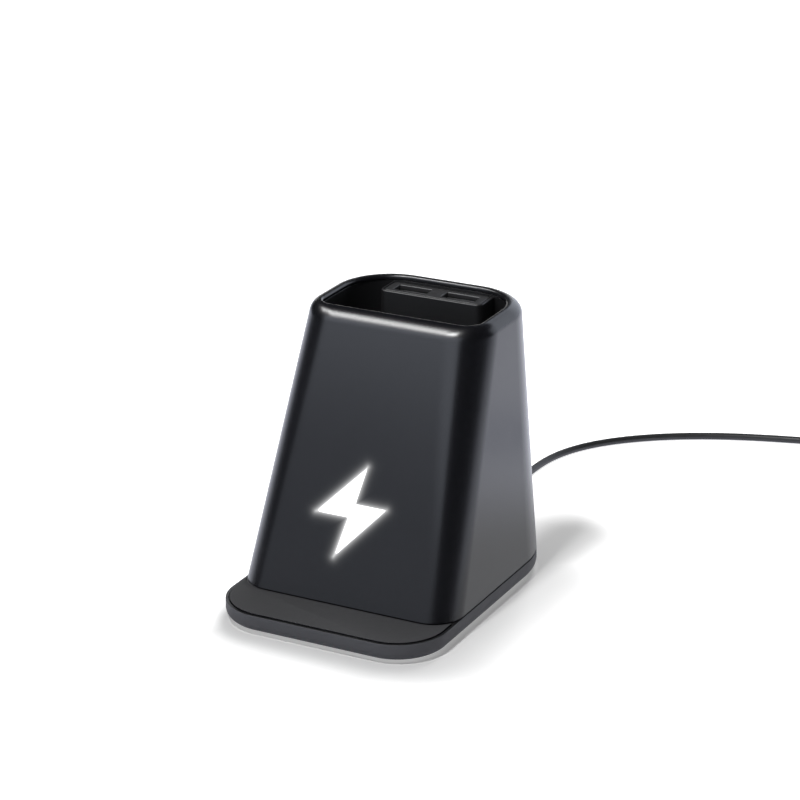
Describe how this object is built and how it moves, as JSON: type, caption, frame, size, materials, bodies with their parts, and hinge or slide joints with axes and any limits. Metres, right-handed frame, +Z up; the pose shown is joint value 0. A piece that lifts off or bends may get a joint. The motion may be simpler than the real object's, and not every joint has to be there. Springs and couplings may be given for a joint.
{
  "type": "pencil holder",
  "caption": "Tapered desk pencil holder on a low base with a phone ledge, a wireless charging front with a light-up mark, USB ports in the mouth and a fixed lead with a plug.",
  "frame": {"origin": "on the table, under the middle of the base, measured without the lead", "axes": "+Z up, the ledge and the charging face towards -Y, +X to the right of someone who looks at the charging face"},
  "size_m": [0.197, 0.2596, 0.1023],
  "materials": {
    "shell_plastic": "satin black with a fine grain",
    "base_plastic": "satin black with a fine grain",
    "pad_rubber": "matt black, non-slip",
    "cover_plastic": "matt black",
    "foot_rubber": "matt black",
    "screw_steel": "zinc plated",
    "liner_plastic": "satin black",
    "port_plastic": "satin black",
    "socket_steel": "nickel plated",
    "tongue_plastic": "matt black",
    "contact_brass": "gold plated",
    "board_laminate": "green lacquered laminate",
    "window_plastic": "translucent white",
    "reflector_plastic": "white",
    "lamp_plastic": "pale, clear lacquer",
    "coil_copper": "lacquered copper",
    "ferrite": "matt dark grey",
    "can_aluminium": "bright",
    "ribbon_plastic": "grey flat cable",
    "cord_rubber": "satin black sheath",
    "tie_rubber": "matt black strap",
    "grip_rubber": "matt black"
  },
  "bodies": {
    "root": {"body_shell": "shell_plastic", "base_frame": "base_plastic", "ledge_pad": "pad_rubber", "bottom_cover": "cover_plastic", "foot_1": "foot_rubber", "foot_2": "foot_rubber", "foot_3": "foot_rubber", "foot_4": "foot_rubber", "case_screw_1": "screw_steel", "case_screw_2": "screw_steel", "case_screw_3": "screw_steel", "case_screw_4": "screw_steel", "cup_screw_1": "screw_steel", "cup_screw_2": "screw_steel", "pen_cup": "liner_plastic", "hub_plate": "port_plastic", "usb_shell_1": "socket_steel", "usb_shell_2": "socket_steel", "usb_tongue_1": "tongue_plastic", "usb_tongue_2": "tongue_plastic", "usb_contacts_1": "contact_brass", "usb_contacts_2": "contact_brass", "hub_board": "board_laminate", "hub_screw_1": "screw_steel", "hub_screw_2": "screw_steel", "light_window": "window_plastic", "light_box": "reflector_plastic", "light_screw_1": "screw_steel", "light_screw_2": "screw_steel", "led_board": "board_laminate", "led_1": "lamp_plastic", "led_2": "lamp_plastic", "charge_coil": "coil_copper", "ferrite_sheet": "ferrite", "coil_carrier": "cover_plastic", "carrier_screw_1": "screw_steel", "carrier_screw_2": "screw_steel", "main_board": "board_laminate", "power_inductor": "ferrite", "capacitor_1": "can_aluminium", "capacitor_2": "can_aluminium", "control_chip": "tongue_plastic", "cord_terminal": "lamp_plastic", "board_screw_1": "screw_steel", "board_screw_2": "screw_steel", "board_screw_3": "screw_steel", "board_screw_4": "screw_steel", "coil_leads": "ribbon_plastic", "led_leads": "ribbon_plastic", "hub_leads": "ribbon_plastic", "strain_relief": "cord_rubber", "cord_inside": "cord_rubber", "cord_lead": "cord_rubber", "cord_coil": "cord_rubber", "cord_tail": "cord_rubber", "coil_tie": "tie_rubber", "plug_grip": "grip_rubber", "plug_shell": "socket_steel", "plug_tongue": "window_plastic"}
  },
  "joints": []
}
